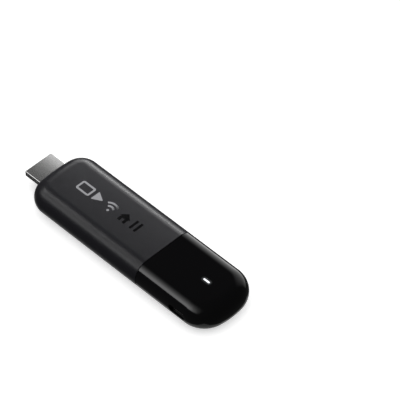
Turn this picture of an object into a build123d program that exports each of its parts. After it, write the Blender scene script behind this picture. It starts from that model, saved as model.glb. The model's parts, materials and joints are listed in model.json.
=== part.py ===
from build123d import *
from functools import cache
import math
import os

# A pocket-size media player that plugs into a screen: a flat stick with full-round edges.
# Frame: X runs along the stick from the video plug (-X) to the rounded tail (+X), Y is across it with the
# power socket in the -Y side, and +Z is out of the front face. The back face lies on Z = 0.
# All sizes are in millimetres.

# ---------------------------------------------------------------- overall sizes
OVERALL_LENGTH = 106.9
WIDTH = 30.0
THICKNESS = 13.0
MID_Z = THICKNESS / 2
EDGE_R = 6.35

PLUG_EXPOSED = 8.25
PLUG_TIP_X = -OVERALL_LENGTH / 2
TAIL_X = OVERALL_LENGTH / 2
HEAD_X = PLUG_TIP_X + PLUG_EXPOSED

HEAD_CROWN_R = 62.6
HEAD_CORNER_R = 8.5
TAIL_CROWN_R = 33.5
TAIL_CORNER_R = 11.4

# ---------------------------------------------------------------- housing
WALL = 1.4
SEAM_X = HEAD_X + 61.45
SEAM_GAP = 0.16
SEAM_BREAK = 0.1
LIP_WALL = 0.8
LIP_CLEARANCE = 0.05
LIP_REACH = 3.2
LIP_ROOT = 2.4
LIP_BITE = 0.1
SNAP_LENGTH = 0.8
SNAP_WIDTH = 4.0
SNAP_Y = 4.2
SNAP_HEIGHT = 0.2
SNAP_CLEARANCE = 0.1

# ---------------------------------------------------------------- video plug, Type A
PLUG_WIDTH = 13.9
PLUG_HEIGHT = 4.45
PLUG_NARROW_WIDTH = 9.8
PLUG_SHELF = 0.25
PLUG_SIDE_HEIGHT = 2.3
PLUG_CORNER_R = 0.45
PLUG_TIP_R = 0.22
PLUG_SLOT_CLEARANCE = 0.3
PLUG_Z = MID_Z - 0.77
SHELL_THICKNESS = 0.3
SHELL_REAR_X = PLUG_TIP_X + 14.2
SHELL_LEG_LENGTH = 3.2
SHELL_LEG_Z = (0.1, 1.6)
LATCH_SIZE = 1.5
LATCH_SPACING = 4.54
LATCH_FROM_TIP = 5.35
LATCH_POCKET_DEPTH = 0.5
MOUTH_WIDTH = 10.6
MOUTH_HEIGHT = 1.9
MOUTH_DEPTH = 8.2
MOUTH_RECESS = 0.55
LINER_REAR_X = SHELL_REAR_X + 0.2
CONTACT_PITCH = 1.0
CONTACT_WIDTH = 0.42
CONTACT_THICKNESS = 0.15
CONTACT_RECESS = 0.7
CONTACT_STEP_X = SHELL_REAR_X + 0.6
CONTACT_END_X = SHELL_REAR_X + 2.4
WIDE_ROW = 10
NARROW_ROW = 9

# ---------------------------------------------------------------- circuit board
BOARD_THICKNESS = 0.8
BOARD_TOP = PLUG_Z + BOARD_THICKNESS / 2
BOARD_BOTTOM = PLUG_Z - BOARD_THICKNESS / 2
BOARD_INSET = 3.6
BOARD_SHOULDER_X = -35.2
BOARD_NECK_X = SHELL_REAR_X + 0.75
BOARD_NECK_WIDTH = 12.6

# ---------------------------------------------------------------- carrier and screws
CARRIER_FRONT_X = -40.4
CARRIER_STEP_X = SEAM_X - LIP_REACH - 0.5
CARRIER_INSET = WALL + 0.1
CARRIER_TAIL_INSET = WALL + LIP_WALL + 0.15
CARRIER_INNER_INSET = 3.5
CARRIER_LEDGE_INSET = 4.6
CARRIER_MOUTH = 19.6
CARRIER_BOTTOM = 3.6
CARRIER_TOP = 7.4
SCREW_XS = (-32.0, 9.5)
SCREW_Y = 9.0
SCREW_R = 0.8
SCREW_HEAD_R = 1.45
SCREW_HEAD_HEIGHT = 0.7
SCREW_TIP_Z = 3.9
SCREW_HEAD_EDGE_R = 0.35
DRIVE_SLOT = (1.7, 0.35, 0.4)
SCREW_CLEAR_R = 0.95
BOSS_R = 1.8
CROSSBAR = 1.8
POST_R = 2.0

# ---------------------------------------------------------------- collar round the plug
COLLAR_WIDTH = 19.2
COLLAR_Z = (2.6, 9.2)
COLLAR_GAP = 0.2
COLLAR_CLEARANCE = 0.02

# ---------------------------------------------------------------- electronics: length, width, height
PROCESSOR_X = -20.5
PROCESSOR_SIZE = (12.0, 12.0, 1.1)
BALL_GRID_SIZE = (11.0, 11.0, 0.25)
MEMORY_X = -6.5
MEMORY_YS = (-3.7, 3.7)
MEMORY_SIZE = (9.0, 6.4, 0.9)
FLASH_X = -12.0
FLASH_SIZE = (13.0, 11.5, 1.0)
POWER_CHIP_X = 14.5
POWER_CHIP_SIZE = (5.0, 5.0, 0.85)
COIL_PLACES = ((14.6, -7.6), (14.6, 7.6), (31.8, -5.8))
COIL_SIZE = (3.2, 3.2, 1.6)
COIL_CORNER_R = 0.5
CAPACITOR_SIZE = (1.6, 0.8, 0.8)
CAPACITOR_ROW_YS = (-10.0, 10.0)
CAPACITOR_FIRST_X = -27.5
CAPACITOR_PITCH = 5.2
CAPACITORS_IN_ROW = 7
CRYSTAL_PLACES = ((4.0, 4.0), (33.4, 4.2))
CRYSTAL_SIZE = (3.2, 2.5, 0.75)
RADIO_X = 23.4
RADIO_BASE_SIZE = (12.0, 12.0, 0.5)
RADIO_CAN_SIZE = (11.0, 11.0, 1.9)
RADIO_CAN_R = 0.6
ANTENNA_LENGTH = 10.0
ANTENNA_SHEET = 0.2
ANTENNA_Z = (1.4, 3.2)
ANTENNA_LEG = 0.8
ANTENNA_FEED_GAP = 1.6
ANTENNA_FOOT = 0.9
TAIL_ANTENNA_PLACE = (46.6, 0)
SIDE_ANTENNA_PLACE = (35.0, 10.3)

# ---------------------------------------------------------------- heat spreaders and pads
FRONT_SPREADER_Z = (8.8, 10.4)
FRONT_SPREADER_X = (-35.0, 12.2)
FRONT_SPREADER_WIDTH = 21.6
SCREW_SEAT_Z = 9.4
SEAT_R = 1.65
BACK_SPREADER_Z = (2.03, 3.53)
BACK_SPREADER_X = (-29.5, 7.0)
BACK_SPREADER_WIDTH = 19.4
SPREADER_CORNER_R = 2.0
SPREADER_BREAK = 0.5
PAD_MARGIN = 0.5
LID_PAD_SIZE = (26.0, 14.0)

# ---------------------------------------------------------------- shield can over the processor
SHIELD_CENTRE_X = -14.0
SHIELD_LENGTH = 29.4
SHIELD_WIDTH = 16.0
SHIELD_SHEET = 0.2
SHIELD_CORNER_R = 0.6
SHIELD_FLANGE = 1.0
LID_CORNER_R = 0.9
SHIELD_TOP = 7.6
LID_SKIRT_Z = 6.7
LID_CLEARANCE = 0.1

# ---------------------------------------------------------------- power socket, Micro-B
USB_X = HEAD_X + 83.45
USB_Z = MID_Z
USB_MOUTH_Y = -WIDTH / 2 + WALL + 0.15
USB_DEPTH = 5.0
USB_WIDTH = 7.5
USB_HEIGHT = 2.5
USB_NARROW_WIDTH = 5.7
USB_BEVEL_HEIGHT = 1.0
USB_SHEET = 0.25
USB_CORNER_R = 0.3
USB_EAR = 1.2
USB_EAR_HEIGHT = 0.3
USB_EAR_FROM_REAR = (1.2, 2.4)
USB_GAP = 0.25
USB_CUTOUT = (8.1, 3.2)
USB_CUTOUT_R = 1.1
USB_TONGUE_THICKNESS = 0.6
USB_TONGUE_WIDTH = 4.4
USB_TONGUE_Z = USB_Z + 0.15
USB_TONGUE_RECESS = 1.0
USB_BACK_WALL = 0.9
USB_PITCH = 0.65
USB_CONTACTS = 5
USB_CONTACT_SIZE = (0.28, 0.1)
USB_TAIL_START = 0.25
USB_TAIL_LENGTH = 1.05

# ---------------------------------------------------------------- status light
LED_X = HEAD_X + 84.45
LED_SLOT = (3.2, 0.8)
LED_SLOT_CLEARANCE = 0.04
LED_BODY = (1.6, 0.8, 0.6)
PIPE_FOOT_Z = 7.1
PIPE_FLANGE = (4.8, 2.4, 0.8)
PIPE_STEM = (2.6, 1.2)

# ---------------------------------------------------------------- pictogram inlay on the front
EMBLEM_CENTRE = (HEAD_X + 31.45, 0.4)
EMBLEM_HEIGHT = 4.9
EMBLEM_STROKE = 0.85
EMBLEM_GAP = 1.7
SIGN_CORNER_R = 0.3
SCREEN_WIDTH = 7.0
SCREEN_CORNER_R = 0.9
PLAY_LENGTH = 4.4
DOT_R = 0.55
WAVE_STEP = 1.75
HOME_WIDTH = 5.4
HOME_WALL_WIDTH = 3.9
HOME_DOOR = (1.2, 1.8)
PAUSE_BAR = 1.1
PAUSE_SPACING = 2.3
FOIL_THICKNESS = 0.12


# ================================================================ helpers
def block(x, y, z):
    """A box given by its low and high limits along each axis."""
    size = (x[1] - x[0], y[1] - y[0], z[1] - z[0])
    corner = Pos(x[0], y[0], z[0])
    return corner * Box(*size, align=(Align.MIN, Align.MIN, Align.MIN))


def chip(x, y, length, width, z0, z1):
    """A rectangular body centred on x, y that fills z0 to z1."""
    return Pos(x, y, z0) * Box(length, width, z1 - z0, align=(Align.CENTER, Align.CENTER, Align.MIN))


def post(x, y, radius, z0, z1):
    """An upright cylinder."""
    return Pos(x, y, z0) * Cylinder(radius, z1 - z0, align=(Align.CENTER, Align.CENTER, Align.MIN))


def across_axis(point):
    """The point's mirror image on the other side of the X axis."""
    return (point[0], -point[1])


def rounded_end(tip_x, crown_r, corner_r, inward, inset):
    """Corner, crown and corner arcs of one end, tangent to each other and to the straight sides."""
    crown_x = tip_x + inward * crown_r
    corner_y = WIDTH / 2 - corner_r
    lean = math.asin(corner_y / (crown_r - corner_r))
    corner_x = crown_x - inward * (crown_r - corner_r) * math.cos(lean)
    half_way = (math.pi / 2 + lean) / 2
    inset_corner_r = corner_r - inset
    inset_crown_r = crown_r - inset
    side = (corner_x, WIDTH / 2 - inset)
    bend_x = corner_x - inward * inset_corner_r * math.cos(half_way)
    bend = (bend_x, corner_y + inset_corner_r * math.sin(half_way))
    meet = (crown_x - inward * inset_crown_r * math.cos(lean), inset_crown_r * math.sin(lean))
    tip = (tip_x + inward * inset, 0)
    return [
        ThreePointArc(side, bend, meet),
        ThreePointArc(meet, tip, across_axis(meet)),
        ThreePointArc(across_axis(meet), across_axis(bend), across_axis(side)),
    ]


def outline(inset):
    """Plan outline of the stick, moved inwards by inset."""
    head = rounded_end(HEAD_X, HEAD_CROWN_R, HEAD_CORNER_R, 1, inset)
    tail = rounded_end(TAIL_X, TAIL_CROWN_R, TAIL_CORNER_R, -1, inset)
    sides = [
        Line(head[0] @ 0, tail[0] @ 0),
        Line(head[2] @ 1, tail[2] @ 1),
    ]
    return make_face(head + tail + sides)


def slab(inset, z0, z1):
    """The plan outline as a plate between two heights."""
    return Pos(0, 0, z0) * extrude(outline(inset), z1 - z0)


@cache
def pebble(inset):
    """The whole stick with its full-round edges, every surface moved inwards by inset."""
    body = slab(inset, inset, THICKNESS - inset)
    rims = body.faces().sort_by(Axis.Z)[0].edges() + body.faces().sort_by(Axis.Z)[-1].edges()
    return fillet(rims, EDGE_R - inset)


def between(shape, x0, x1):
    """The stretch of a shape from x0 to x1."""
    return shape & block((x0, x1), (-WIDTH, WIDTH), (-THICKNESS, 2 * THICKNESS))


def rounded_ring(length, width, wall, radius, z0, z1):
    """A rectangular tube standing on z0, rounded outside and square inside."""
    outer = RectangleRounded(length, width, radius)
    inner = Rectangle(length - 2 * wall, width - 2 * wall)
    return Pos(0, 0, z0) * extrude(outer - inner, z1 - z0)


# ================================================================ housing
def snap_blocks(grow):
    """Two latching blocks on each flat face inside the seam, grown on every side for their pockets."""
    x_mid = SEAM_X - LIP_REACH / 2
    half_length = SNAP_LENGTH / 2 + grow
    half_width = SNAP_WIDTH / 2 + grow
    inner = WALL + LIP_CLEARANCE
    blocks = []
    for y in (-SNAP_Y, SNAP_Y):
        across = (y - half_width, y + half_width)
        along = (x_mid - half_length, x_mid + half_length)
        blocks.append(block(along, across, (inner - SNAP_HEIGHT - grow, inner + LIP_WALL / 2)))
        top = THICKNESS - inner
        blocks.append(block(along, across, (top - LIP_WALL / 2, top + SNAP_HEIGHT + grow)))
    return blocks


def seam_rim(shape, x):
    """Outer edges of the cut face at x."""
    face = shape.faces().filter_by(Axis.X).sort_by(lambda f: abs(f.center().X - x))[0]
    return face.outer_wire().edges()


def matte_sleeve():
    """Tube that closes round the plug and stays open at the seam."""
    skin = between(pebble(0), HEAD_X - 1, SEAM_X - SEAM_GAP / 2)
    skin = chamfer(seam_rim(skin, SEAM_X), SEAM_BREAK)
    sleeve = skin - between(pebble(WALL), HEAD_X, SEAM_X + 1)
    sleeve -= plug_prism(PLUG_SLOT_CLEARANCE, HEAD_X - 1, HEAD_X + 2 * WALL)
    sleeve -= snap_blocks(SNAP_CLEARANCE)
    sleeve -= emblem_foil()
    return sleeve


def gloss_cap():
    """Tail cap with the spigot lip that snaps into the sleeve."""
    start = SEAM_X + SEAM_GAP / 2
    skin = between(pebble(0), start, TAIL_X + 1)
    skin = chamfer(seam_rim(skin, SEAM_X), SEAM_BREAK)
    cap = skin - between(pebble(WALL), start - 1, TAIL_X)
    bore = pebble(WALL + LIP_WALL)
    cap += between(pebble(WALL - LIP_BITE), start, start + LIP_ROOT) - bore
    lip = between(pebble(WALL + LIP_CLEARANCE), SEAM_X - LIP_REACH, start) - bore
    lip += snap_blocks(0)
    lip -= between(bore, SEAM_X - 2 * LIP_REACH, SEAM_X + LIP_REACH)
    cap += lip
    socket_way = (USB_Z - USB_CUTOUT[1] / 2, USB_Z + USB_CUTOUT[1] / 2)
    cap -= block((SEAM_X - 2 * LIP_REACH, start + LIP_ROOT + 1), (-WIDTH / 2 + WALL, 0), socket_way)
    cap -= usb_cutout()
    cap -= Pos(LED_X, 0, MID_Z) * extrude(SlotOverall(*LED_SLOT), THICKNESS)
    return cap


def usb_cutout():
    """Rounded opening through the side wall in front of the power socket."""
    face = Plane(origin=(USB_X, -WIDTH / 2 - 1, USB_Z), x_dir=(1, 0, 0), z_dir=(0, 1, 0))
    return extrude(face * RectangleRounded(*USB_CUTOUT, USB_CUTOUT_R), 2 * WALL)


def plug_collar():
    """Collar that holds the plug shell against the sleeve's end wall."""
    half = COLLAR_WIDTH / 2
    blank = block((HEAD_X, CARRIER_FRONT_X - COLLAR_GAP), (-half, half), COLLAR_Z)
    collar = blank & pebble(CARRIER_INSET)
    return collar - plug_prism(COLLAR_CLEARANCE, HEAD_X, CARRIER_FRONT_X)


# ================================================================ video plug
def plug_section(grow):
    """Cross-section of the plug, wide side up, in the YZ plane at the plug's height."""
    half_wide = PLUG_WIDTH / 2 + grow
    half_narrow = PLUG_NARROW_WIDTH / 2 + grow
    top = PLUG_HEIGHT / 2 + grow
    shelf = PLUG_HEIGHT / 2 - PLUG_SIDE_HEIGHT - grow
    slope_top = half_wide - PLUG_SHELF
    right = [(half_wide, top), (half_wide, shelf), (slope_top, shelf), (half_narrow, -top)]
    left = [(-y, z) for y, z in reversed(right)]
    face = make_face(Polyline(*right, *left, close=True))
    corners = face.vertices().filter_by(lambda v: abs(v.Y) > PLUG_HEIGHT / 4)
    face = fillet(corners, PLUG_CORNER_R + grow)
    return face


def plug_prism(grow, x0, x1):
    """The plug's section run along X."""
    plane = Plane(origin=(x0, 0, PLUG_Z), x_dir=(0, 1, 0), z_dir=(1, 0, 0))
    return extrude(plane * plug_section(grow), x1 - x0)


def latch_windows(top_z):
    """Two square prisms that run from below the narrow face up to top_z."""
    x = PLUG_TIP_X + LATCH_FROM_TIP
    return [
        chip(x, y, LATCH_SIZE, LATCH_SIZE, PLUG_Z - PLUG_HEIGHT, top_z)
        for y in (-LATCH_SPACING / 2, LATCH_SPACING / 2)
    ]


def hdmi_shell():
    """Stamped steel shell with a turned-in tip, two latch windows and two solder legs."""
    shell = plug_prism(0, PLUG_TIP_X, SHELL_REAR_X)
    tip = shell.faces().sort_by(Axis.X)[0]
    shell = fillet(tip.edges(), PLUG_TIP_R)
    shell -= plug_prism(-SHELL_THICKNESS, PLUG_TIP_X - 1, SHELL_REAR_X + 1)
    shell -= latch_windows(PLUG_Z)
    for side in (-1, 1):
        outer = side * PLUG_WIDTH / 2
        inner = side * (PLUG_WIDTH / 2 - SHELL_THICKNESS)
        across = (min(outer, inner), max(outer, inner))
        along = (SHELL_REAR_X - SHELL_THICKNESS, SHELL_REAR_X + SHELL_LEG_LENGTH)
        shell += block(along, across, (PLUG_Z + SHELL_LEG_Z[0], PLUG_Z + SHELL_LEG_Z[1]))
    return shell


def contact_strip(y, side):
    """One spring strip: along the mouth, through the insulator and down to its pad on the board."""
    inner = MOUTH_HEIGHT / 2 - CONTACT_THICKNESS / 3
    pad = BOARD_THICKNESS / 2
    start = PLUG_TIP_X + MOUTH_RECESS + CONTACT_RECESS
    step_end = CONTACT_STEP_X + inner - pad
    lower = [(start, inner), (CONTACT_STEP_X, inner), (step_end, pad), (CONTACT_END_X, pad)]
    upper = [(x, z + CONTACT_THICKNESS) for x, z in reversed(lower)]
    points = [(x, side * z) for x, z in lower + upper]
    plane = Plane(origin=(0, y + CONTACT_WIDTH / 2, PLUG_Z), x_dir=(1, 0, 0), z_dir=(0, -1, 0))
    return extrude(plane * make_face(Polyline(*points, close=True)), CONTACT_WIDTH)


def hdmi_contacts():
    """The wide row of strips over the narrow row, staggered by half a pitch."""
    strips = []
    for count, side in ((WIDE_ROW, 1), (NARROW_ROW, -1)):
        first = -(count - 1) / 2 * CONTACT_PITCH
        strips += [contact_strip(first + i * CONTACT_PITCH, side) for i in range(count)]
    return strips


def hdmi_insulator():
    """Moulded liner with the mouth that takes the mating tongue, grooved for the strips."""
    liner = plug_prism(-SHELL_THICKNESS, PLUG_TIP_X + MOUTH_RECESS, LINER_REAR_X)
    along = (PLUG_TIP_X - 1, PLUG_TIP_X + MOUTH_RECESS + MOUTH_DEPTH)
    across = (-MOUTH_WIDTH / 2, MOUTH_WIDTH / 2)
    mouth = block(along, across, (PLUG_Z - MOUTH_HEIGHT / 2, PLUG_Z + MOUTH_HEIGHT / 2))
    pocket_top = PLUG_Z - PLUG_HEIGHT / 2 + SHELL_THICKNESS + LATCH_POCKET_DEPTH
    return liner - mouth - latch_windows(pocket_top) - hdmi_contacts()


# ================================================================ carrier, board and screws
def screw_places():
    """Centres of the four screws that clamp the front spreader, the board and the carrier together."""
    return [(x, y) for x in SCREW_XS for y in (-SCREW_Y, SCREW_Y)]


def socket_space(beside, behind):
    """Space to leave for the power socket, wider and deeper than it by the given amounts."""
    half = USB_WIDTH / 2 + beside
    return block((USB_X - half, USB_X + half), (-WIDTH, USB_MOUTH_Y + USB_DEPTH + behind), (0, THICKNESS))


def inner_carrier():
    """Moulded tray: side walls, a ledge under the board's edge and two crossbars with screw bosses."""
    layer = block((-OVERALL_LENGTH, OVERALL_LENGTH), (-WIDTH, WIDTH), (CARRIER_BOTTOM, CARRIER_TOP))
    walls = between(pebble(CARRIER_INSET), CARRIER_FRONT_X, CARRIER_STEP_X)
    walls += between(pebble(CARRIER_TAIL_INSET), CARRIER_STEP_X, TAIL_X)
    tray = walls & layer
    tray -= slab(CARRIER_INNER_INSET, BOARD_BOTTOM, THICKNESS)
    tray -= slab(CARRIER_LEDGE_INSET, 0, BOARD_BOTTOM)
    tray -= block((HEAD_X, BOARD_SHOULDER_X), (-CARRIER_MOUTH / 2, CARRIER_MOUTH / 2), (0, THICKNESS))
    for x in SCREW_XS:
        tray += chip(x, 0, CROSSBAR, 2 * SCREW_Y, CARRIER_BOTTOM, BOARD_BOTTOM)
    for x, y in screw_places():
        tray += post(x, y, BOSS_R, CARRIER_BOTTOM, BOARD_BOTTOM)
        tray -= post(x, y, SCREW_R, 0, BOARD_BOTTOM)
    return tray - socket_space(USB_EAR + USB_GAP, 2 * USB_GAP)


def main_board():
    """Circuit board with a neck between the plug's contact rows and a notch for the power socket."""
    board = between(slab(BOARD_INSET, BOARD_BOTTOM, BOARD_TOP), BOARD_SHOULDER_X, TAIL_X)
    half_neck = BOARD_NECK_WIDTH / 2
    board += block((BOARD_NECK_X, BOARD_SHOULDER_X + 1), (-half_neck, half_neck), (BOARD_BOTTOM, BOARD_TOP))
    for x, y in screw_places():
        board -= post(x, y, SCREW_CLEAR_R, 0, THICKNESS)
    return board - socket_space(USB_GAP, USB_GAP)


def carrier_screws():
    """Four pan-head screws with crossed driver slots."""
    screws = []
    for x, y in screw_places():
        screw = post(x, y, SCREW_R, SCREW_TIP_Z, SCREW_SEAT_Z)
        head = post(x, y, SCREW_HEAD_R, SCREW_SEAT_Z, SCREW_SEAT_Z + SCREW_HEAD_HEIGHT)
        screw += fillet(head.edges().sort_by(Axis.Z)[-1], SCREW_HEAD_EDGE_R)
        top = SCREW_SEAT_Z + SCREW_HEAD_HEIGHT
        length, width, depth = DRIVE_SLOT
        screw -= chip(x, y, length, width, top - depth, top)
        screw -= chip(x, y, width, length, top - depth, top)
        screws.append(screw)
    return screws


# ================================================================ electronics
def on_board(x, y, size):
    """A rectangular part standing on the front of the board."""
    return chip(x, y, size[0], size[1], BOARD_TOP, BOARD_TOP + size[2])


def processor_chip():
    """Main processor package on its ball grid."""
    grid_top = BOARD_TOP + BALL_GRID_SIZE[2]
    package = chip(PROCESSOR_X, 0, *PROCESSOR_SIZE[:2], grid_top, BOARD_TOP + PROCESSOR_SIZE[2])
    return package + on_board(PROCESSOR_X, 0, BALL_GRID_SIZE)


def memory_chips():
    """Two working-memory packages beside the processor."""
    return [on_board(MEMORY_X, y, MEMORY_SIZE) for y in MEMORY_YS]


def flash_chip():
    """Storage package on the back of the board."""
    return chip(FLASH_X, 0, *FLASH_SIZE[:2], BOARD_BOTTOM - FLASH_SIZE[2], BOARD_BOTTOM)


def power_chip():
    """Power-management package."""
    return on_board(POWER_CHIP_X, 0, POWER_CHIP_SIZE)


def power_inductors():
    """Shielded coils of the supply rails, with softened upright corners."""
    coils = [on_board(x, y, COIL_SIZE) for x, y in COIL_PLACES]
    return [fillet(coil.edges().filter_by(Axis.Z), COIL_CORNER_R) for coil in coils]


def ceramic_capacitors():
    """Decoupling capacitors in two rows beside the shield can."""
    xs = [CAPACITOR_FIRST_X + i * CAPACITOR_PITCH for i in range(CAPACITORS_IN_ROW)]
    return [on_board(x, y, CAPACITOR_SIZE) for y in CAPACITOR_ROW_YS for x in xs]


def clock_crystals():
    """Metal-lidded crystals of the processor and the radio."""
    return [on_board(x, y, CRYSTAL_SIZE) for x, y in CRYSTAL_PLACES]


def radio_module():
    """Wireless module: a small board with its own can."""
    can = fillet(on_board(RADIO_X, 0, RADIO_CAN_SIZE).edges().filter_by(Axis.Z), RADIO_CAN_R)
    return can + on_board(RADIO_X, 0, RADIO_BASE_SIZE)


def wireless_antenna(place, turn):
    """Stamped inverted-F antenna: a raised strip with a ground leg and foot at its end, and a feed leg."""
    end = -ANTENNA_LENGTH / 2
    feed = end + ANTENNA_LEG + ANTENNA_FEED_GAP
    sheet = (-ANTENNA_SHEET / 2, ANTENNA_SHEET / 2)
    metal = block((end, -end), sheet, ANTENNA_Z)
    for leg in (end, feed):
        metal += block((leg, leg + ANTENNA_LEG), sheet, (0, ANTENNA_Z[0]))
    metal += block((end, end + ANTENNA_LEG), (-ANTENNA_SHEET / 2, ANTENNA_FOOT), (0, ANTENNA_SHEET))
    return Pos(*place, BOARD_TOP) * Rot(0, 0, turn) * metal


def tail_antenna():
    """Antenna across the tail end of the board."""
    return wireless_antenna(TAIL_ANTENNA_PLACE, -90)


def side_antenna():
    """Antenna along the board's edge, opposite the power socket."""
    return wireless_antenna(SIDE_ANTENNA_PLACE, 0)


def shield_frame():
    """Soldered fence round the processor and memory, with a turned-in top flange."""
    fence = rounded_ring(SHIELD_LENGTH, SHIELD_WIDTH, SHIELD_SHEET, SHIELD_CORNER_R, BOARD_TOP, SHIELD_TOP)
    flange_z = SHIELD_TOP - SHIELD_SHEET
    fence += rounded_ring(SHIELD_LENGTH, SHIELD_WIDTH, SHIELD_FLANGE, SHIELD_CORNER_R, flange_z, SHIELD_TOP)
    return Pos(SHIELD_CENTRE_X, 0, 0) * fence


def shield_lid():
    """Snap-on lid of the shield can."""
    grow = 2 * (LID_CLEARANCE + SHIELD_SHEET)
    length = SHIELD_LENGTH + grow
    width = SHIELD_WIDTH + grow
    skirt = rounded_ring(length, width, SHIELD_SHEET, LID_CORNER_R, LID_SKIRT_Z, SHIELD_TOP)
    plate = Pos(0, 0, SHIELD_TOP) * extrude(RectangleRounded(length, width, LID_CORNER_R), SHIELD_SHEET)
    return Pos(SHIELD_CENTRE_X, 0, 0) * (skirt + plate)


# ================================================================ cooling
def processor_pad():
    """Soft pad between the processor and the lid."""
    length, width, height = PROCESSOR_SIZE
    return chip(PROCESSOR_X, 0, length - PAD_MARGIN, width - PAD_MARGIN, BOARD_TOP + height, SHIELD_TOP)


def lid_pad():
    """Soft pad between the lid and the front spreader."""
    length, width = LID_PAD_SIZE
    return chip(SHIELD_CENTRE_X, 0, length, width, SHIELD_TOP + SHIELD_SHEET, FRONT_SPREADER_Z[0])


def flash_pad():
    """Soft pad between the storage package and the back spreader."""
    length, width, height = FLASH_SIZE
    flash_top = BOARD_BOTTOM - height
    return chip(FLASH_X, 0, length + PAD_MARGIN, width + PAD_MARGIN, BACK_SPREADER_Z[1], flash_top)


def front_heat_spreader():
    """Die-cast plate behind the front wall, standing on the board by four drilled posts."""
    half = FRONT_SPREADER_WIDTH / 2
    plate = block(FRONT_SPREADER_X, (-half, half), FRONT_SPREADER_Z)
    plate = fillet(plate.edges().filter_by(Axis.Z), SPREADER_CORNER_R)
    plate = chamfer(plate.faces().sort_by(Axis.Z)[-1].edges(), SPREADER_BREAK)
    for x, y in screw_places():
        plate += post(x, y, POST_R, BOARD_TOP, SCREW_SEAT_Z)
        plate -= post(x, y, SCREW_CLEAR_R, 0, THICKNESS)
        plate -= post(x, y, SEAT_R, SCREW_SEAT_Z, THICKNESS)
    return plate


def back_heat_spreader():
    """Plate behind the back wall, glued to the storage package by its pad."""
    half = BACK_SPREADER_WIDTH / 2
    plate = block(BACK_SPREADER_X, (-half, half), BACK_SPREADER_Z)
    plate = fillet(plate.edges().filter_by(Axis.Z), SPREADER_CORNER_R)
    return chamfer(plate.faces().sort_by(Axis.Z)[0].edges(), SPREADER_BREAK)


# ================================================================ power socket
def usb_section(grow):
    """Cross-section of the socket with its two bevelled corners towards the back, in the XZ plane."""
    half_wide = USB_WIDTH / 2 + grow
    half_narrow = USB_NARROW_WIDTH / 2 + grow
    half_height = USB_HEIGHT / 2 + grow
    bevel_z = -half_height + USB_BEVEL_HEIGHT
    right = [(half_wide, half_height), (half_wide, bevel_z), (half_narrow, -half_height)]
    left = [(-x, z) for x, z in reversed(right)]
    face = make_face(Polyline(*right, *left, close=True))
    return fillet(face.vertices(), USB_CORNER_R)


def usb_prism(grow, y0, y1):
    """The socket's section run along Y."""
    plane = Plane(origin=(USB_X, y1, USB_Z), x_dir=(1, 0, 0), z_dir=(0, -1, 0))
    return extrude(plane * usb_section(grow), y1 - y0)


def usb_shell():
    """Folded steel shell with a solder ear on each side."""
    rear = USB_MOUTH_Y + USB_DEPTH
    shell = usb_prism(0, USB_MOUTH_Y, rear) - usb_prism(-USB_SHEET, USB_MOUTH_Y - 1, rear + 1)
    for side in (-1, 1):
        inner = USB_X + side * (USB_WIDTH / 2 - USB_SHEET / 2)
        outer = USB_X + side * (USB_WIDTH / 2 + USB_EAR)
        along = (min(inner, outer), max(inner, outer))
        across = (rear - USB_EAR_FROM_REAR[1], rear - USB_EAR_FROM_REAR[0])
        shell += block(along, across, (BOARD_TOP, BOARD_TOP + USB_EAR_HEIGHT))
    return shell


def usb_contact_places():
    """Centres of the five contacts along X."""
    return [USB_X + (i - (USB_CONTACTS - 1) / 2) * USB_PITCH for i in range(USB_CONTACTS)]


def usb_contacts():
    """Five flat contacts under the tongue, each with a riser and a tail to the board."""
    rear = USB_MOUTH_Y + USB_DEPTH
    half, sheet = USB_CONTACT_SIZE[0] / 2, USB_CONTACT_SIZE[1]
    start_y = USB_MOUTH_Y + USB_TONGUE_RECESS + USB_CONTACT_SIZE[0]
    riser_y = rear + USB_TAIL_START
    contacts = []
    for x in usb_contact_places():
        along = (x - half, x + half)
        strip = block(along, (start_y, riser_y + sheet), (USB_TONGUE_Z - sheet, USB_TONGUE_Z))
        riser = block(along, (riser_y, riser_y + sheet), (BOARD_TOP, USB_TONGUE_Z))
        tail = block(along, (riser_y, riser_y + USB_TAIL_LENGTH), (BOARD_TOP, BOARD_TOP + sheet))
        contacts.append(strip + riser + tail)
    return contacts


def usb_tongue():
    """Moulded back wall and tongue that carry the contacts."""
    rear = USB_MOUTH_Y + USB_DEPTH
    back = usb_prism(-USB_SHEET, rear - USB_BACK_WALL, rear)
    half = USB_TONGUE_WIDTH / 2
    along = (USB_X - half, USB_X + half)
    across = (USB_MOUTH_Y + USB_TONGUE_RECESS, rear - USB_BACK_WALL / 2)
    blade = block(along, across, (USB_TONGUE_Z, USB_TONGUE_Z + USB_TONGUE_THICKNESS))
    return back + blade - usb_contacts()


# ================================================================ status light
def status_led():
    """Chip LED under the light guide."""
    return chip(LED_X, 0, *LED_BODY[:2], BOARD_TOP, BOARD_TOP + LED_BODY[2])


def light_pipe():
    """Clear guide from the LED up to the slot in the cap, with a flange glued inside the wall."""
    flange_top = THICKNESS - WALL
    length = LED_SLOT[0] - 2 * LED_SLOT_CLEARANCE
    width = LED_SLOT[1] - 2 * LED_SLOT_CLEARANCE
    window = Pos(LED_X, 0, flange_top) * extrude(SlotOverall(length, width), WALL)
    flange = chip(LED_X, 0, PIPE_FLANGE[0], PIPE_FLANGE[1], flange_top - PIPE_FLANGE[2], flange_top)
    stem = chip(LED_X, 0, *PIPE_STEM, PIPE_FOOT_Z, flange_top - PIPE_FLANGE[2])
    return window + flange + stem


# ================================================================ pictogram inlay
def screen_sign():
    """Screen outline."""
    outer = RectangleRounded(SCREEN_WIDTH, EMBLEM_HEIGHT, SCREEN_CORNER_R)
    inner_width = SCREEN_WIDTH - 2 * EMBLEM_STROKE
    return outer - RectangleRounded(inner_width, EMBLEM_HEIGHT - 2 * EMBLEM_STROKE, SIGN_CORNER_R)


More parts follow.
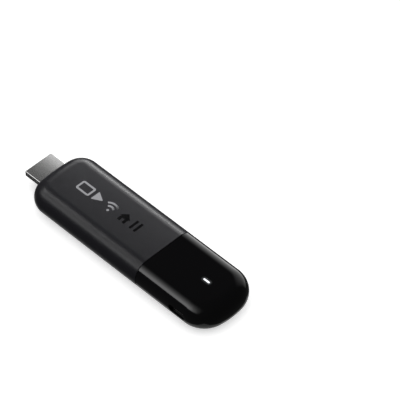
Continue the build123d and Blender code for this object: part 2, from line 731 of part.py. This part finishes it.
def play_sign():
    """Solid triangle pointing along the stick."""
    tip = PLAY_LENGTH / 2
    half = EMBLEM_HEIGHT / 2
    face = make_face(Polyline((-tip, half), (-tip, -half), (tip, 0), close=True))
    return fillet(face.vertices(), SIGN_CORNER_R)


def wave_sign():
    """A dot with two arcs over it."""
    base = Pos(0, DOT_R - EMBLEM_HEIGHT / 2)
    reach = EMBLEM_HEIGHT - DOT_R
    fan = make_face(Polyline((0, 0), (-2 * reach, 2 * reach), (2 * reach, 2 * reach), close=True))
    sign = base * Circle(DOT_R)
    for radius in (reach, reach - WAVE_STEP):
        sign += base * ((Circle(radius) - Circle(radius - EMBLEM_STROKE)) & fan)
    return sign


def home_sign():
    """House with a doorway."""
    half = EMBLEM_HEIGHT / 2
    roof = make_face(Polyline((-HOME_WIDTH / 2, 0), (0, half), (HOME_WIDTH / 2, 0), close=True))
    walls = Pos(0, -half / 2) * Rectangle(HOME_WALL_WIDTH, half)
    door = Pos(0, HOME_DOOR[1] / 2 - half) * Rectangle(*HOME_DOOR)
    return roof + walls - door


def pause_sign():
    """Two upright bars."""
    bar = RectangleRounded(PAUSE_BAR, EMBLEM_HEIGHT, SIGN_CORNER_R)
    return Pos(-PAUSE_SPACING / 2, 0) * bar + Pos(PAUSE_SPACING / 2, 0) * bar


def emblem_foil():
    """Row of media pictograms inlaid flush in the front face."""
    signs = [screen_sign(), play_sign(), wave_sign(), home_sign(), pause_sign()]
    widths = [sign.bounding_box().size.X for sign in signs]
    x = EMBLEM_CENTRE[0] - (sum(widths) + EMBLEM_GAP * (len(signs) - 1)) / 2
    foils = []
    for sign, width in zip(signs, widths):
        place = Pos(x + width / 2, EMBLEM_CENTRE[1], THICKNESS - FOIL_THICKNESS)
        foils += extrude(place * sign, FOIL_THICKNESS).solids()
        x += width + EMBLEM_GAP
    return foils


# ================================================================ writing the files
NODES = {
    "matte_sleeve": matte_sleeve,
    "gloss_cap": gloss_cap,
    "plug_collar": plug_collar,
    "inner_carrier": inner_carrier,
    "hdmi_shell": hdmi_shell,
    "hdmi_insulator": hdmi_insulator,
    "hdmi_contacts": hdmi_contacts,
    "main_board": main_board,
    "carrier_screws": carrier_screws,
    "processor_chip": processor_chip,
    "memory_chips": memory_chips,
    "flash_chip": flash_chip,
    "power_chip": power_chip,
    "power_inductors": power_inductors,
    "ceramic_capacitors": ceramic_capacitors,
    "clock_crystals": clock_crystals,
    "radio_module": radio_module,
    "tail_antenna": tail_antenna,
    "side_antenna": side_antenna,
    "shield_frame": shield_frame,
    "shield_lid": shield_lid,
    "processor_pad": processor_pad,
    "lid_pad": lid_pad,
    "flash_pad": flash_pad,
    "front_heat_spreader": front_heat_spreader,
    "back_heat_spreader": back_heat_spreader,
    "usb_shell": usb_shell,
    "usb_tongue": usb_tongue,
    "usb_contacts": usb_contacts,
    "status_led": status_led,
    "light_pipe": light_pipe,
    "emblem_foil": emblem_foil,
}


def write_parts():
    """One STEP file for each node; a node of several solids is written as one compound."""
    os.makedirs("parts", exist_ok=True)
    for name, make in NODES.items():
        shape = make()
        solids = shape if isinstance(shape, list) else shape.solids()
        whole = solids[0] if len(solids) == 1 else Compound(children=list(solids))
        export_step(whole, f"parts/{name}.step")


write_parts()
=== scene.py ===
import json
import math

import bmesh
import bpy
from mathutils import Matrix, Vector


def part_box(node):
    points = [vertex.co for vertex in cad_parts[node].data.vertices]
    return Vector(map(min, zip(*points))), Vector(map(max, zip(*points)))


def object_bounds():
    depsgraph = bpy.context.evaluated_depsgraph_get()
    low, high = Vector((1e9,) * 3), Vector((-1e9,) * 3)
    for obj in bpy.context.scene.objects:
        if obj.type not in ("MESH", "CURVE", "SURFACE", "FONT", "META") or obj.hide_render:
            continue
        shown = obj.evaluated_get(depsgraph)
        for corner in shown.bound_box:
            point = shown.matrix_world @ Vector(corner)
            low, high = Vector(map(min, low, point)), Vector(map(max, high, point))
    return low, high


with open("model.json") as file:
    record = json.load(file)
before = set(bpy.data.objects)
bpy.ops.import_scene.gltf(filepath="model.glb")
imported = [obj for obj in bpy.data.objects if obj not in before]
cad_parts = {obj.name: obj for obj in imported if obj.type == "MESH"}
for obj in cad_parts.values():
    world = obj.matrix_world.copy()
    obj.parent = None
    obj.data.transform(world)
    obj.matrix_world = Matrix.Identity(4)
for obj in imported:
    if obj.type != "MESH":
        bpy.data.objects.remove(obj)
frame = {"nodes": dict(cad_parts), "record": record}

MM = 0.001
cad_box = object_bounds()
nodes = frame["nodes"]

# Middle of the stick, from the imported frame.
MID_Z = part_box("matte_sleeve")[1].z / 2
CENTRE = Vector(((cad_box[0].x + cad_box[1].x) / 2, 0, MID_Z))

# Camera: a long lens above the tail end, on the side of the power socket. Angles are in degrees.
CAMERA_AZIMUTH = 46.86
CAMERA_ELEVATION = 47.59
CAMERA_ROLL = -1.62
CAMERA_DISTANCE = 1242.21 * MM
CAMERA_LENS = 280.16
SENSOR_WIDTH = 36
NEAR_CLIP = 10 * MM
AIM = CENTRE + Vector((7.83, 27.11, 0)) * MM

# Floor disc and the dome round it: sizes in metres, glows and world level as light strengths.
FLOOR_RADIUS = 1.1
FLOOR_GAP = 0.02 * MM
FLOOR_GLOW = 0.48
DOME_RADIUS = 2.6
DOME_GLOW = 1.02
WORLD_LEVEL = 0.06

# Distance of the far lights from the middle of the stick, then the places of the near ones, in metres.
RIG_RADIUS = 1.0
BACK_STRIP = Vector((-35, 66, 46)) * MM
SLEEVE_STRIP = Vector((-45, 66, 53)) * MM
SLEEVE_STRIP_AIM = Vector((-45, 15, 46)) * MM
EMBLEM_CARD = Vector((-43.5, 19.2, 43)) * MM
PLUG_CARD = Vector((-95, 46, 50)) * MM
FLOOR_BOUNCE = Vector((CENTRE.x, CENTRE.y, -FLOOR_GAP / 2))
FLOOR_WASH = CENTRE + Vector((0.1, -0.1, 1.5))
TO_BACK = Vector((0, 1, 0))
UP = Vector((0, 0, 1))

# Status light, in millimetres. SLOT_LINE is half the middle line of the slot, which runs along X, and the
# cores, edges and glows are distances from that line. The glow is a painted glow: emission painted on the
# gloss housing round the slot, standing in for light spilling from it. Levels are strengths of emission.
SLOT_LINE = 1.2
LIT_CORE = 0.15
LIT_EDGE = 0.42
PAINTED_GLOW_START = 0.2
PAINTED_GLOW_END = 1.5
LIT_CORE_LEVEL = 1.3
LIT_EDGE_LEVEL = 0.25
PAINTED_GLOW_LEVEL = 0.12


# ---------------------------------------------------------------- scene furniture
def direction(azimuth, elevation):
    """Unit vector towards a place in the sky; azimuth 0 is -Y and 90 is +X."""
    a, e = math.radians(azimuth), math.radians(elevation)
    return Vector((math.sin(a) * math.cos(e), -math.cos(a) * math.cos(e), math.sin(e)))


def make_camera():
    """Camera at the studio viewpoint, rolled a little about its own axis."""
    back = direction(CAMERA_AZIMUTH, CAMERA_ELEVATION)
    azimuth = math.radians(CAMERA_AZIMUTH)
    level = Vector((math.cos(azimuth), math.sin(azimuth), 0))
    up = back.cross(level)
    roll = math.radians(CAMERA_ROLL)
    right = level * math.cos(roll) + up * math.sin(roll)
    up = up * math.cos(roll) - level * math.sin(roll)
    data = bpy.data.cameras.new("studio_camera")
    data.lens = CAMERA_LENS
    data.sensor_width = SENSOR_WIDTH
    data.clip_start = NEAR_CLIP
    camera = bpy.data.objects.new("studio_camera", data)
    rotation = Matrix((right, up, back)).transposed().to_4x4()
    camera.matrix_world = Matrix.Translation(AIM + back * CAMERA_DISTANCE) @ rotation
    bpy.context.scene.collection.objects.link(camera)
    bpy.context.scene.camera = camera


def light_panel(name, place, aim, size, radiance, lit, fades=()):
    """Rectangular light at `place` that faces `aim` and shines on the `lit` objects alone.

    Each fade is (axis, full, dark, power): along axis "X" or "Y" the light keeps its brightness as far
    as the share `full` of its length, and falls to nothing at `dark` as a power of what is left.
    """
    data = bpy.data.lights.new(name, "AREA")
    data.shape = "RECTANGLE"
    data.size, data.size_y = size
    data.energy = radiance * data.size * data.size_y * math.pi
    if fades:
        fade_light(data, fades)
    light = bpy.data.objects.new(name, data)
    turn = (place - aim).normalized().to_track_quat("Z", "Y").to_matrix().to_4x4()
    light.matrix_world = Matrix.Translation(place) @ turn
    light.visible_camera = False
    bpy.context.scene.collection.objects.link(light)
    receivers = bpy.data.collections.new(name + "_receivers")
    for thing in lit:
        receivers.objects.link(thing)
    light.light_linking.receiver_collection = receivers


def fade_light(data, fades):
    """Node tree that dims an area light towards one or two of its sides."""
    data.use_nodes = True
    tree = data.node_tree
    geometry = tree.nodes.new("ShaderNodeNewGeometry")
    split = tree.nodes.new("ShaderNodeSeparateXYZ")
    tree.links.new(geometry.outputs["Parametric"], split.inputs["Vector"])
    strength = tree.nodes["Emission"].inputs["Strength"]
    for axis, full, dark, power in fades:
        left = tree.nodes.new("ShaderNodeMapRange")
        left.inputs["From Min"].default_value = full
        left.inputs["From Max"].default_value = dark
        left.inputs["To Min"].default_value = 1.0
        left.inputs["To Max"].default_value = 0.0
        curve = tree.nodes.new("ShaderNodeMath")
        curve.operation = "POWER"
        curve.inputs[1].default_value = power
        share = tree.nodes.new("ShaderNodeMath")
        share.operation = "MULTIPLY"
        share.inputs[1].default_value = 1.0
        tree.links.new(split.outputs[axis], left.inputs["Value"])
        tree.links.new(left.outputs["Result"], curve.inputs[0])
        tree.links.new(curve.outputs["Value"], share.inputs[0])
        tree.links.new(share.outputs["Value"], strength)
        strength = share.inputs[1]


def in_sky(azimuth, elevation):
    """A place on the sphere of lights round the stick."""
    return CENTRE + direction(azimuth, elevation) * RIG_RADIUS


def make_lights(stick, floor):
    """Side softbox, kickers for the corners of the head, strips, cards, fill, bounce and floor wash."""
    sleeve, cap, plug = nodes["matte_sleeve"], nodes["gloss_cap"], nodes["hdmi_shell"]
    foil = nodes["emblem_foil"]
    softbox_fades = (("Y", 0.26, 1.0, 2.0), ("X", 0.5, 1.0, 1.7))
    light_panel("side_softbox", in_sky(-19, 51.5), CENTRE, (1.9, 0.9), 2.8, stick, softbox_fades)
    light_panel("near_kicker", in_sky(-75, 48), CENTRE, (0.28, 0.17), 9.0, [sleeve, cap])
    light_panel("far_kicker", in_sky(218, 21), CENTRE, (0.17, 0.19), 13.0, [sleeve, plug])
    all_but_sleeve = [node for node in stick if node != sleeve]
    strip_fades = (("Y", 0.0, 1.0, 1.6), ("X", 0.27, 0.0, 1.0))
    strip_aim = BACK_STRIP - TO_BACK
    light_panel("back_strip", BACK_STRIP, strip_aim, (0.21, 0.09), 2.6, all_but_sleeve, strip_fades)
    light_panel("sleeve_strip", SLEEVE_STRIP, SLEEVE_STRIP_AIM, (0.19, 0.06), 2.7, [sleeve])
    light_panel("emblem_card", EMBLEM_CARD, EMBLEM_CARD - UP, (0.023, 0.01), 3.7, [foil])
    light_panel("plug_card", PLUG_CARD, PLUG_CARD - UP, (0.05, 0.032), 1.25, stick)
    light_panel("sleeve_fill", in_sky(227, 52), CENTRE, (0.6, 0.5), 0.08, [sleeve])
    light_panel("floor_bounce", FLOOR_BOUNCE, FLOOR_BOUNCE + UP, (0.1095, 0.034), 0.35, [sleeve, cap])
    light_panel("floor_wash", FLOOR_WASH, CENTRE, (4.0, 4.0), 1.3, [floor])


def make_world():
    """Faint even light from everywhere."""
    world = bpy.data.worlds.new("surroundings")
    world.use_nodes = True
    background = world.node_tree.nodes["Background"]
    background.inputs["Color"].default_value = (1, 1, 1, 1)
    background.inputs["Strength"].default_value = WORLD_LEVEL
    bpy.context.scene.world = world


# ---------------------------------------------------------------- material helpers
class Shader:
    """A node material with one Principled shader, and short calls for what feeds it."""

    def __init__(self, name, colour, roughness, metallic=0.0, **sockets):
        self.material = bpy.data.materials.new(name)
        self.material.use_nodes = True
        self.tree = self.material.node_tree
        self.principled = self.tree.nodes["Principled BSDF"]
        self.set("Base Color", (*colour, 1))
        self.set("Roughness", roughness)
        self.set("Metallic", metallic)
        for socket, value in sockets.items():
            self.set(socket.replace("_", " "), value)

    def set(self, socket, value):
        self.principled.inputs[socket].default_value = value

    def node(self, kind, **settings):
        node = self.tree.nodes.new("ShaderNode" + kind)
        for name, value in settings.items():
            setattr(node, name, value)
        return node

    def link(self, source, target):
        self.tree.links.new(source, target)

    def place(self):
        """Object coordinates in metres."""
        return self.node("TexCoord").outputs["Object"]

    def noise(self, scale, detail=2.0, roughness=0.5, stretch=(1, 1, 1)):
        """Noise with about `scale` features to the metre, stretched along the axes."""
        mapping = self.node("Mapping")
        mapping.inputs["Scale"].default_value = stretch
        self.link(self.place(), mapping.inputs["Vector"])
        noise = self.node("TexNoise")
        noise.inputs["Scale"].default_value = scale
        noise.inputs["Detail"].default_value = detail
        noise.inputs["Roughness"].default_value = roughness
        self.link(mapping.outputs["Vector"], noise.inputs["Vector"])
        return noise.outputs["Fac"]

    def span(self, source, low, high, start=0.0, end=1.0):
        """Maps start..end of a value to low..high."""
        mapped = self.node("MapRange")
        mapped.inputs["From Min"].default_value = start
        mapped.inputs["From Max"].default_value = end
        mapped.inputs["To Min"].default_value = low
        mapped.inputs["To Max"].default_value = high
        self.link(source, mapped.inputs["Value"])
        return mapped.outputs["Result"]

    def mix(self, factor, low, high):
        """Blends two colours by a value."""
        mix = self.node("Mix", data_type="RGBA")
        mix.inputs["A"].default_value = (*low, 1)
        mix.inputs["B"].default_value = (*high, 1)
        self.link(factor, mix.inputs["Factor"])
        return mix.outputs["Result"]

    def bump(self, height, distance, strength=1.0, after=None):
        """Bump of the given depth in metres, on top of an earlier one if named."""
        bump = self.node("Bump")
        bump.inputs["Distance"].default_value = distance
        bump.inputs["Strength"].default_value = strength
        self.link(height, bump.inputs["Height"])
        if after is not None:
            self.link(after, bump.inputs["Normal"])
        return bump.outputs["Normal"]

    def power(self, source, exponent):
        power = self.node("Math", operation="POWER")
        power.inputs[1].default_value = exponent
        self.link(source, power.inputs[0])
        return power.outputs["Value"]

    def slot_distance(self):
        """Distance in millimetres from the middle line of the status light's slot."""
        low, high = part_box("light_pipe")
        offset = self.node("Mapping")
        offset.inputs["Location"].default_value = -(low + high) / 2 / MM
        offset.inputs["Scale"].default_value = (1 / MM,) * 3
        self.link(self.place(), offset.inputs["Vector"])
        split = self.node("SeparateXYZ")
        self.link(offset.outputs["Vector"], split.inputs["Vector"])
        along = self.node("Math", operation="ABSOLUTE")
        self.link(split.outputs["X"], along.inputs[0])
        far = 10.0
        past_end = self.span(along.outputs["Value"], 0.0, far, SLOT_LINE, SLOT_LINE + far)
        flat = self.node("CombineXYZ")
        self.link(past_end, flat.inputs["X"])
        self.link(split.outputs["Y"], flat.inputs["Y"])
        length = self.node("VectorMath", operation="LENGTH")
        self.link(flat.outputs["Vector"], length.inputs[0])
        return length.outputs["Value"]

    def feed(self, socket, source):
        self.link(source, self.principled.inputs[socket])
        return self


# ---------------------------------------------------------------- materials
def matte_housing():
    """Charcoal moulding with a fine spark-eroded grain and faint cloudiness."""
    s = Shader("matte_housing", (0.0145, 0.0142, 0.0175), 0.32, Specular_IOR_Level=0.3)
    s.feed("Base Color", s.mix(s.noise(180, 3), (0.013, 0.0128, 0.0158), (0.0168, 0.0165, 0.02)))
    s.feed("Roughness", s.span(s.noise(900, 3), 0.29, 0.35, 0.3, 0.7))
    grain = s.bump(s.noise(9000, 2, 0.6), 0.000012, 0.6)
    s.feed("Normal", s.bump(s.noise(2500, 2), 0.000016, 0.3, grain))
    return s.material


def gloss_housing():
    """Piano-black moulding: very smooth, with a trace of handling haze, and a painted glow of emission
    round the slot.
    """
    s = Shader("gloss_housing", (0.0022, 0.0021, 0.0027), 0.07)
    s.feed("Base Color", s.mix(s.noise(60, 2), (0.0018, 0.0017, 0.0023), (0.0026, 0.0024, 0.0032)))
    # Painted glow: the housing itself emits light round the status light's slot, standing in for light
    # spilling from it.
    s.set("Emission Color", (0.93, 0.97, 1.0, 1))
    painted_glow = s.span(s.slot_distance(), math.sqrt(PAINTED_GLOW_LEVEL), 0.0, PAINTED_GLOW_START, PAINTED_GLOW_END)
    s.feed("Emission Strength", s.power(painted_glow, 2.0))
    s.feed("Roughness", s.span(s.noise(350, 4), 0.05, 0.1, 0.3, 0.75))
    s.feed("Normal", s.bump(s.noise(45, 1), 0.00002, 0.3))
    return s.material


def plug_steel():
    """Nickel-plated stamping with a faint lengthwise grain."""
    s = Shader("plug_steel", (0.62, 0.615, 0.6), 0.28, 1.0)
    streaks = s.noise(400, 3, stretch=(0.15, 1, 1))
    s.feed("Base Color", s.mix(streaks, (0.61, 0.61, 0.605), (0.645, 0.645, 0.64)))
    s.feed("Roughness", s.span(s.noise(1500, 3, stretch=(0.1, 1, 1)), 0.22, 0.24, 0.3, 0.7))
    s.feed("Normal", s.bump(s.noise(5000, 2, stretch=(0.06, 1, 1)), 0.000002, 0.12))
    return s.material


def pictogram_foil():
    """Hot-stamped foil: mirror-like, following the grain under it a little."""
    s = Shader("pictogram_foil", (0.09, 0.09, 0.094), 0.11, 1.0)
    s.feed("Roughness", s.span(s.noise(1200, 3), 0.09, 0.14, 0.3, 0.7))
    s.feed("Normal", s.bump(s.noise(6000, 2), 0.000002, 0.3))
    return s.material


def moulding(name, dark, light, roughness):
    """Plain moulded plastic with a fine grain."""
    s = Shader(name, dark, roughness)
    s.feed("Base Color", s.mix(s.noise(300, 3), dark, light))
    s.feed("Roughness", s.span(s.noise(1500, 2), roughness - 0.06, roughness + 0.06, 0.3, 0.7))
    s.feed("Normal", s.bump(s.noise(6000, 2), 0.000008, 0.4))
    return s.material


def sheet_metal(name, dark, light, roughness, stretch=(0.2, 1, 1)):
    """Rolled or plated metal with streaks along its rolling direction."""
    s = Shader(name, dark, roughness, 1.0)
    streaks = s.noise(1200, 3, stretch=stretch)
    s.feed("Base Color", s.mix(streaks, dark, light))
    s.feed("Roughness", s.span(streaks, roughness - 0.08, roughness + 0.08, 0.3, 0.7))
    s.feed("Normal", s.bump(s.noise(6000, 2, stretch=stretch), 0.000005, 0.4))
    return s.material


def board_laminate():
    """Green solder mask over faint copper areas."""
    s = Shader("board_laminate", (0.01, 0.09, 0.05), 0.3, Coat_Weight=0.4)
    s.feed("Base Color", s.mix(s.noise(900, 1), (0.006, 0.06, 0.035), (0.015, 0.12, 0.06)))
    s.feed("Normal", s.bump(s.noise(1800, 2), 0.00001, 0.4))
    return s.material


def light_guide():
    """Frosted guide, lit white from below and brightest along its middle."""
    s = Shader("light_guide", (0.9, 0.93, 1.0), 0.25)
    across = s.span(s.slot_distance(), LIT_CORE_LEVEL, LIT_EDGE_LEVEL, LIT_CORE, LIT_EDGE)
    s.feed("Emission Strength", across)
    s.feed("Emission Color", s.mix(s.noise(2500, 1), (0.92, 0.96, 1.0), (1.0, 1.0, 1.0)))
    return s.material


def floor_acrylic():
    """Pale matt acrylic, lit softly from below so that shadows on it stay light."""
    s = Shader("floor_acrylic", (0.86, 0.86, 0.86), 0.9, Emission_Strength=FLOOR_GLOW)
    s.set("Emission Color", (1, 1, 1, 1))
    s.feed("Base Color", s.mix(s.noise(40, 3), (0.85, 0.85, 0.85), (0.87, 0.87, 0.87)))
    s.feed("Normal", s.bump(s.noise(900, 3), 0.00004, 0.3))
    return s.material


def backdrop_cloth():
    """Evenly lit white cloth."""
    s = Shader("backdrop_cloth", (0, 0, 0), 1.0, Specular_IOR_Level=0.0, Emission_Strength=DOME_GLOW)
    s.feed("Emission Color", s.mix(s.noise(2, 2), (0.98, 0.98, 0.98), (1.0, 1.0, 1.0)))
    return s.material


MATERIALS = {
    "matte_housing": matte_housing(),
    "gloss_housing": gloss_housing(),
    "plug_steel": plug_steel(),
    "plug_moulding": moulding("plug_moulding", (0.006, 0.006, 0.0065), (0.010, 0.010, 0.011), 0.42),
    "gold_contact": sheet_metal("gold_contact", (0.82, 0.58, 0.24), (0.95, 0.72, 0.34), 0.25),
    "carrier_moulding": moulding("carrier_moulding", (0.02, 0.02, 0.022), (0.03, 0.03, 0.033), 0.5),
    "board_laminate": board_laminate(),
    "screw_steel": sheet_metal("screw_steel", (0.42, 0.42, 0.44), (0.55, 0.55, 0.57), 0.32, (1, 1, 1)),
    "chip_epoxy": moulding("chip_epoxy", (0.012, 0.012, 0.013), (0.022, 0.022, 0.024), 0.55),
    "ferrite": moulding("ferrite", (0.06, 0.06, 0.065), (0.09, 0.09, 0.095), 0.7),
    "capacitor_ceramic": moulding("capacitor_ceramic", (0.36, 0.25, 0.16), (0.46, 0.33, 0.22), 0.5),
    "tin_plate": sheet_metal("tin_plate", (0.55, 0.55, 0.56), (0.7, 0.7, 0.71), 0.34),
    "thermal_pad": moulding("thermal_pad", (0.30, 0.36, 0.46), (0.38, 0.45, 0.56), 0.85),
    "spreader_aluminium": sheet_metal("spreader_aluminium", (0.62, 0.63, 0.64), (0.76, 0.77, 0.78), 0.42),
    "light_guide": light_guide(),
    "led_package": moulding("led_package", (0.85, 0.83, 0.62), (0.95, 0.93, 0.75), 0.4),
    "pictogram_foil": pictogram_foil(),
}


def dress_nodes():
    """Gives every CAD node the material of its slot in the record."""
    slots = {part["node"]: part["material_slot"] for part in frame["record"]["subparts"]}
    for name, node in nodes.items():
        node.data.materials.clear()
        node.data.materials.append(MATERIALS[slots[name]])


def make_floor():
    """Large pale floor just under the stick, kept out of its reflections and its bounce light."""
    mesh = bpy.data.meshes.new("studio_floor")
    bm = bmesh.new()
    bmesh.ops.create_circle(bm, cap_ends=True, segments=96, radius=FLOOR_RADIUS)
    bm.to_mesh(mesh)
    bm.free()
    floor = bpy.data.objects.new("studio_floor", mesh)
    floor.location.z = -FLOOR_GAP
    floor.data.materials.append(floor_acrylic())
    floor.visible_glossy = False
    floor.visible_diffuse = False
    bpy.context.scene.collection.objects.link(floor)
    return floor


def make_backdrop():
    """Pale dome that only the camera sees."""
    mesh = bpy.data.meshes.new("studio_backdrop")
    bm = bmesh.new()
    bmesh.ops.create_uvsphere(bm, u_segments=64, v_segments=32, radius=DOME_RADIUS)
    bm.to_mesh(mesh)
    bm.free()
    dome = bpy.data.objects.new("studio_backdrop", mesh)
    dome.data.materials.append(backdrop_cloth())
    dome.visible_diffuse = False
    dome.visible_glossy = False
    dome.visible_transmission = False
    dome.visible_shadow = False
    bpy.context.scene.collection.objects.link(dome)


dress_nodes()
floor = make_floor()
make_backdrop()
make_camera()
make_world()
make_lights(list(nodes.values()), floor)

scene = bpy.context.scene
scene.view_settings.view_transform = "Standard"
scene.view_settings.look = "None"
